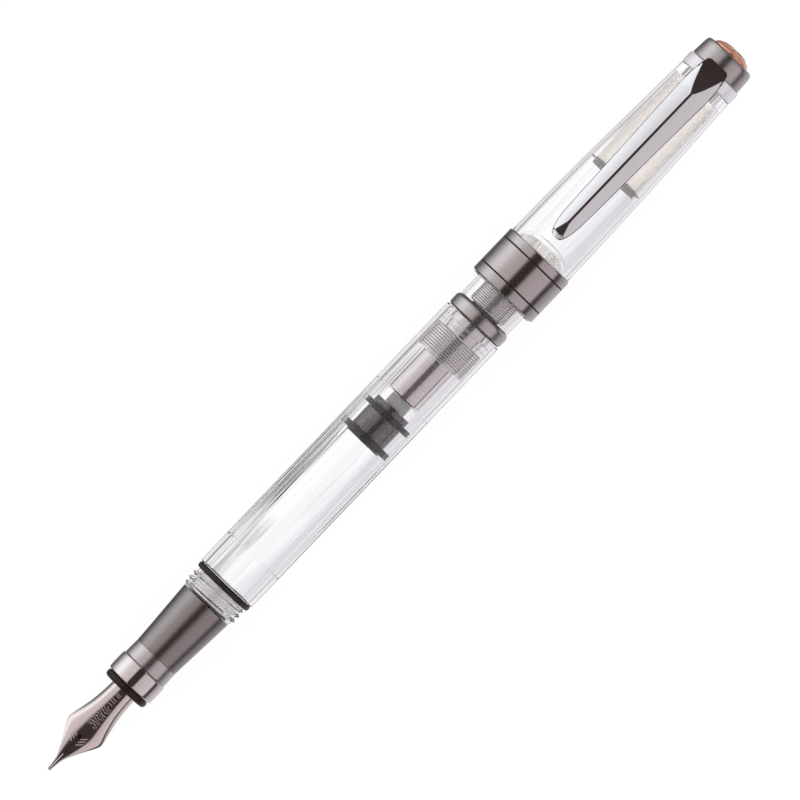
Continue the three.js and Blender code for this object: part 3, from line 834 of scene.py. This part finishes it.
clip_under = smooth_curve(
    [(131.6, 7.2), (132.3, 6.96), (133.4, 6.93), (134.8, 7.15), (136.8, 7.55), (145, 7.62),
     (155, 7.5), (162, 7.2), (166.8, 6.4), (168.2, 6.05), (174.1, 6.08)]
)
CREASE = 0.23  # half width of the flat along the clip's middle
PITCH = 0.6  # steepest fall of the clip's facets


def clip_flat(s):
    """Half width of the flat on top: a hairline crease, wider at the toe and at the shield."""
    toe = 0.9 * min(1, max(0, (136.1 - s) / 3.2))
    shield = min(clip_half_width(s) - 0.1, 2.42 * max(0, min(1, (s - 166.8) / 5.6)) ** 0.72)
    return max(0.03, max(CREASE, toe, shield) * smoothstep((s - 132.45) / 0.35))


def make_clip():
    stations = steps_between(CLIP_FRONT, 134, 30) + steps_between(134.4, 166.4, 48)
    stations += steps_between(166.8, CLIP_REAR, 30)
    rings = []
    for s in stations:
        w, f = clip_half_width(s), clip_flat(s)
        w = max(w, f + 0.05)
        top, under = clip_ridge(s), clip_under(s)
        eaves = max(clip_eaves(s), top - PITCH * (w - f))
        bulge = 0.07 * min(1, (w - f) / 1.5)
        roof = []
        for t in (0.25, 0.5, 0.75, 1.0):
            z = top + (eaves - top) * t + bulge * 4 * t * (1 - t)
            roof.append((f + (w - 0.11 - f) * t, z))
        half = [(f * 0.5, top), (f, top), *roof, (w - 0.02, eaves - 0.14), (w, eaves - 0.2),
                (w, (eaves + under) / 2), (w - 0.06, under)]
        right = [(s, y, z) for y, z in half]
        left = [(s, -y, z) for y, z in reversed(half)]
        rings.append(right + left)
    bm = bmesh.new()
    loft(bm, rings)
    m = Shader("clip_chrome", Metallic=1.0)
    marks = m.noise((0.3, 3, 3), detail=6)
    m.colour(m.tinted(marks, (0.82, 0.85, 0.885), (0.87, 0.9, 0.94)))
    m.rough(m.ranged(marks, 0.04, 0.1))
    m.bump(marks, 0.0006)
    piece = finish_mesh("clip", "clip", bm, m.material, ("clip",), sharp=math.radians(11))
    # The clip's steep upper edges take black plastic: a painted dark reflection, standing in for
    # the black cards that the chrome would mirror there.
    piece.data.materials.append(BLACK)
    for face in piece.data.polygons:  # its steep upper edges are dark
        if abs(face.normal.y) > 0.66 and face.center.z > AXIS_Z + 7 * MM:
            face.material_index = 1


make_nib()
make_tipping()
make_feed()
make_section()
make_barrel()
make_piston()
make_drive()
make_knob()
make_cap()
make_clip()

# ---- stage: floor, light and camera ---------------------------------------------------------
# Reflection bands around the pen's axis, as a studio's soft boxes and black cards would give.
# Angles are in degrees from straight up, positive towards -Y; the value is the brightness.
BANDS = [
    (-180, (0.4, 0.39, 0.4)),
    (-150, (0.15, 0.14, 0.14)),
    (-130, (0.18, 0.175, 0.178)),
    (-113, (0.48, 0.47, 0.48)),
    (-100, (0.76, 0.75, 0.77)),
    (-86, (1.05, 1.04, 1.05)),
    (-68, (1.06, 1.03, 1.04)),
    (-50, (0.76, 0.71, 0.71)),
    (-38, (0.68, 0.62, 0.61)),
    (-16, (0.62, 0.555, 0.55)),
    (-10, (0.045, 0.033, 0.03)),
    (16, (0.045, 0.033, 0.031)),
    (23, (0.55, 0.485, 0.49)),
    (50, (0.63, 0.56, 0.57)),
    (79, (0.67, 0.6, 0.62)),
    (85, (0.08, 0.064, 0.066)),
    (98, (0.1, 0.082, 0.085)),
    (106, (0.42, 0.39, 0.4)),
    (130, (0.6, 0.57, 0.59)),
    (155, (0.7, 0.68, 0.7)),
    (180, (0.4, 0.39, 0.4)),
]


# The soft boxes are as long as the pen is and a little more: past these shares of a direction
# that runs along the pen they fall off to this brightness.
BOX_REACH = (0.35, 0.9)
BEYOND_BOX = 0.4
WARM_WHITE = (1, 0.995, 0.99)
SHEET_SIZE = 0.6  # half the side of the floor and the light table, in metres
TENT_RADIUS = 5.0  # in metres, so that a camera with a long lens stands inside it
WALL_FACES = 4  # surfaces that light crosses on its way in and out through a clear wall


def make_world():
    world = bpy.data.worlds.new("studio")
    bpy.context.scene.world = world
    world.use_nodes = True
    tree = world.node_tree
    tree.nodes.clear()
    node = partial(add_node, tree)

    split = node("ShaderNodeSeparateXYZ")
    tree.links.new(node("ShaderNodeTexCoord").outputs["Generated"], split.inputs["Vector"])
    flip = node("ShaderNodeMath", operation="MULTIPLY")
    flip.inputs[1].default_value = -1
    tree.links.new(split.outputs["Y"], flip.inputs[0])
    angle = node("ShaderNodeMath", operation="ARCTAN2")
    tree.links.new(flip.outputs["Value"], angle.inputs[0])
    tree.links.new(split.outputs["Z"], angle.inputs[1])
    share = node("ShaderNodeMapRange")
    share.inputs["From Min"].default_value = -math.pi
    share.inputs["From Max"].default_value = math.pi
    tree.links.new(angle.outputs["Value"], share.inputs["Value"])
    ramp = node("ShaderNodeValToRGB")
    fill_ramp(ramp, [((degrees + 180) / 360, colour) for degrees, colour in BANDS])
    tree.links.new(share.outputs["Result"], ramp.inputs["Fac"])
    away = node("ShaderNodeMath", operation="ABSOLUTE")
    tree.links.new(split.outputs["X"], away.inputs[0])
    ends = node("ShaderNodeMapRange", interpolation_type="SMOOTHSTEP")
    ends.inputs["From Min"].default_value = BOX_REACH[0]
    ends.inputs["From Max"].default_value = BOX_REACH[1]
    ends.inputs["To Min"].default_value = 1.0
    ends.inputs["To Max"].default_value = BEYOND_BOX
    tree.links.new(away.outputs["Value"], ends.inputs["Value"])
    background = node("ShaderNodeBackground")
    tree.links.new(ramp.outputs["Color"], background.inputs["Color"])
    tree.links.new(ends.outputs["Result"], background.inputs["Strength"])
    out = node("ShaderNodeOutputWorld")
    tree.links.new(background.outputs["Background"], out.inputs["Surface"])
    seen = world.cycles_visibility
    seen.camera = False
    seen.diffuse = False
    seen.scatter = False


def tent_white():
    """The white tent. Light off a piece behind clear acrylic passes it and finds the bands."""
    material, tree = bare_material("tent_white")
    node = partial(add_node, tree)
    glow = node("ShaderNodeEmission")
    glow.inputs["Color"].default_value = (*WARM_WHITE, 1)
    glow.inputs["Strength"].default_value = 0.95
    path = node("ShaderNodeLightPath")
    behind = node("ShaderNodeMath", operation="GREATER_THAN")  # in and out through a wall
    behind.inputs[1].default_value = WALL_FACES - 0.5
    tree.links.new(path.outputs["Transmission Depth"], behind.inputs[0])
    once = node("ShaderNodeMath", operation="COMPARE")  # and one reflection
    once.inputs[1].default_value = 1.0
    once.inputs[2].default_value = 0.5
    tree.links.new(path.outputs["Glossy Depth"], once.inputs[0])
    both = node("ShaderNodeMath", operation="MULTIPLY")
    tree.links.new(behind.outputs["Value"], both.inputs[0])
    tree.links.new(once.outputs["Value"], both.inputs[1])
    mix = node("ShaderNodeMixShader")
    tree.links.new(both.outputs["Value"], mix.inputs["Fac"])
    tree.links.new(glow.outputs["Emission"], mix.inputs[1])
    tree.links.new(node("ShaderNodeBsdfTransparent").outputs["BSDF"], mix.inputs[2])
    out = node("ShaderNodeOutputMaterial")
    tree.links.new(mix.outputs["Shader"], out.inputs["Surface"])
    return material


def bare_material(name):
    material = bpy.data.materials.new(name)
    material.use_nodes = True
    material.node_tree.nodes.clear()
    return material, material.node_tree


def stage_piece(name, bm, material):
    mesh = bpy.data.meshes.new(name)
    bm.to_mesh(mesh)
    bm.free()
    mesh.materials.append(material)
    made = bpy.data.objects.new(name, mesh)
    bpy.context.scene.collection.objects.link(made)
    return made


def sheet(name, height, material):
    """A flat square under the pen."""
    bm = bmesh.new()
    bmesh.ops.create_grid(bm, x_segments=1, y_segments=1, size=SHEET_SIZE)
    made = stage_piece(name, bm, material)
    made.location.z = height
    return made


def make_stage():
    pale = bpy.data.materials.new("pale_floor")
    pale.use_nodes = True
    shade = pale.node_tree.nodes["Principled BSDF"]
    shade.inputs["Base Color"].default_value = (0.12, 0.12, 0.12, 1)
    shade.inputs["Roughness"].default_value = 0.9
    shade.inputs["Specular IOR Level"].default_value = 0.0
    shade.inputs["Emission Color"].default_value = (*WARM_WHITE, 1)
    shade.inputs["Emission Strength"].default_value = 0.92
    floor = sheet("floor", -0.2 * MM, pale)
    floor.visible_glossy = False

    make_underlay()

    bm = bmesh.new()
    bmesh.ops.create_icosphere(bm, subdivisions=4, radius=TENT_RADIUS)
    bmesh.ops.reverse_faces(bm, faces=bm.faces)
    tent = stage_piece("tent", bm, tent_white())
    tent.visible_glossy = False
    tent.visible_shadow = False


# Brightness of the light table as clear acrylic sees it, by distance across from the pen in mm.
# The dark edges are the flags that draw a clear wall's outline against a white ground.
UNDERLAY = [
    (-60, (0.95, 0.94, 0.95)),
    (-17, (0.62, 0.6, 0.62)),
    (-13, (0.6, 0.58, 0.6)),
    (-10, (0.98, 0.97, 0.98)),
    (-7.6, (1.0, 0.99, 1.01)),
    (-6.6, (0.78, 0.75, 0.8)),
    (-4.6, (0.8, 0.78, 0.82)),
    (-3, (0.96, 0.95, 0.98)),
    (-1, (1.1, 1.1, 1.12)),
    (1, (1.12, 1.11, 1.1)),
    (8, (1.1, 1.08, 1.08)),
    (11, (0.9, 0.88, 0.9)),
    (13.5, (0.84, 0.82, 0.84)),
    (15, (0.3, 0.27, 0.265)),
    (22, (0.2, 0.17, 0.165)),
    (26, (0.75, 0.73, 0.73)),
    (60, (0.95, 0.93, 0.93)),
]
UNDERLAY_REACH = 60.0  # how far across the ramp of the light table runs, each way
CARD_SPAN = 180.0  # the length that the cards' stations are shares of


def make_underlay():
    """What rays that have passed through clear acrylic see below the pen."""
    material, tree = bare_material("underlay")
    split = tree.nodes.new("ShaderNodeSeparateXYZ")
    tree.links.new(tree.nodes.new("ShaderNodeTexCoord").outputs["Object"], split.inputs["Vector"])
    share = tree.nodes.new("ShaderNodeMapRange")
    share.inputs["From Min"].default_value = -UNDERLAY_REACH * MM
    share.inputs["From Max"].default_value = UNDERLAY_REACH * MM
    tree.links.new(split.outputs["Y"], share.inputs["Value"])
    ramp = tree.nodes.new("ShaderNodeValToRGB")
    fill_ramp(ramp, [(across(y), colour) for y, colour in UNDERLAY])
    tree.links.new(share.outputs["Result"], ramp.inputs["Fac"])
    glow = tree.nodes.new("ShaderNodeEmission")
    tree.links.new(ramp.outputs["Color"], glow.inputs["Color"])
    tree.links.new(streaks(tree, share.outputs["Result"]), glow.inputs["Strength"])
    out = tree.nodes.new("ShaderNodeOutputMaterial")
    tree.links.new(glow.outputs["Emission"], out.inputs["Surface"])
    underlay = sheet("underlay", -0.1 * MM, material)
    underlay.visible_camera = False
    underlay.visible_diffuse = False
    underlay.visible_glossy = False
    underlay.visible_shadow = False


# Soft grey cards on the light table: how far each darkens it, by distance across from the pen and
# then by station along it. Their edges are streaked along the pen, as facets would streak them,
# and light that the clear walls have turned aside doesn't find them.
CARDS = [
    ([(-12, 0.0), (-8, 0.12), (-3, 0.12), (2, 0.0), (4, 0.1), (10, 0.1), (13, 0.0)],
     [(40, 1.0), (180, 1.0)]),
    ([(1.4, 0.0), (2.4, 0.38), (8, 0.38), (10, 0.0)],
     [(44, 1.0), (57, 1.0), (61, 0.0)]),
    ([(4.0, 0.0), (5.2, 0.92), (12, 0.92), (14, 0.0)],
     [(56, 0.0), (64, 1.0), (80, 1.0), (86, 0.5), (110, 0.45), (113, 0.0), (150, 0.0), (156, 0.6),
      (170, 0.6)]),
]


def across(y):
    return (y + UNDERLAY_REACH) / (2 * UNDERLAY_REACH)


def streaks(tree, y_share):
    """Brightness of the light table under its cards."""
    node = partial(add_node, tree)

    def calc(kind, a, b):
        made = node("ShaderNodeMath", operation=kind)
        for socket, value in zip(made.inputs, (a, b)):
            if isinstance(value, float):
                socket.default_value = value
            else:
                tree.links.new(value, socket)
        return made.outputs["Value"]

    def ramp(source, stops):
        made = node("ShaderNodeValToRGB")
        fill_ramp(made, [(position, (v, v, v)) for position, v in stops])
        tree.links.new(source, made.inputs["Fac"])
        return made.outputs["Color"]

    place_out = node("ShaderNodeTexCoord").outputs["Object"]
    split = node("ShaderNodeSeparateXYZ")
    tree.links.new(place_out, split.inputs["Vector"])
    s_share = calc("DIVIDE", calc("SUBTRACT", split.outputs["X"], TIP_X), CARD_SPAN * MM)
    mapping = node("ShaderNodeMapping")
    mapping.inputs["Scale"].default_value = (0.06 / MM, 1.5 / MM, 1 / MM)
    tree.links.new(place_out, mapping.inputs["Vector"])
    noise = node("ShaderNodeTexNoise")
    noise.inputs["Scale"].default_value = 1.0
    noise.inputs["Detail"].default_value = 3.0
    tree.links.new(mapping.outputs["Vector"], noise.inputs["Vector"])
    streak = node("ShaderNodeMapRange")
    streak.inputs["From Min"].default_value = 0.36
    streak.inputs["From Max"].default_value = 0.62
    streak.inputs["To Max"].default_value = 1.35
    tree.links.new(noise.outputs["Fac"], streak.inputs["Value"])
    bright = 1.0
    straight = calc("LESS_THAN", node("ShaderNodeLightPath").outputs["Glossy Depth"], 0.5)
    strength = calc("MULTIPLY", streak.outputs["Result"], straight)
    for by_y, by_s in CARDS:
        card = calc(
            "MULTIPLY",
            ramp(y_share, [(across(y), v) for y, v in by_y]),
            ramp(s_share, [(s / CARD_SPAN, v) for s, v in by_s]),
        )
        card = calc("MULTIPLY", card, strength)
        bright = calc("MULTIPLY", bright, calc("SUBTRACT", 1.0, card))
    return bright


def fill_ramp(ramp, stops):
    elements = ramp.color_ramp.elements
    while len(elements) < len(stops):
        elements.new(0.5)
    for element, (position, colour) in zip(elements, stops):
        element.position = position
        element.color = (*colour, 1)


PEN_ANGLE = math.radians(46.289)  # how far the pen is turned up from the picture's horizontal
ROLL = math.radians(2.5)  # how far the camera looks from the -Y side
FRAME_WIDTH = 143.5 * MM  # what the picture spans at the pen
OFF_CENTRE = (1.365 * MM, 1.765 * MM)  # from the pen's middle to the picture's, right and up
LENS, SENSOR = 500.0, 36.0


def make_camera():
    data = bpy.data.cameras.new("camera")
    camera = bpy.data.objects.new("camera", data)
    bpy.context.scene.collection.objects.link(camera)
    data.sensor_width = SENSOR
    data.lens = LENS
    back = Vector((0, -math.sin(ROLL), math.cos(ROLL)))
    along = Vector((1, 0, 0))
    sideways = back.cross(along)
    right = along * math.cos(PEN_ANGLE) - sideways * math.sin(PEN_ANGLE)
    up = along * math.sin(PEN_ANGLE) + sideways * math.cos(PEN_ANGLE)
    middle = place(station("jewel", 1) / 2, 0, 0)
    distance = FRAME_WIDTH / SENSOR * LENS
    camera.matrix_world = Matrix((right, up, back)).transposed().to_4x4()
    camera.location = middle + right * OFF_CENTRE[0] + up * OFF_CENTRE[1] + back * distance
    data.clip_start, data.clip_end = 0.01, 4 * TENT_RADIUS
    bpy.context.scene.camera = camera


make_world()
make_stage()
make_camera()
bpy.context.scene.view_settings.view_transform = "Standard"
bpy.context.scene.cycles.transmission_bounces = 24
bpy.context.scene.cycles.max_bounces = 32
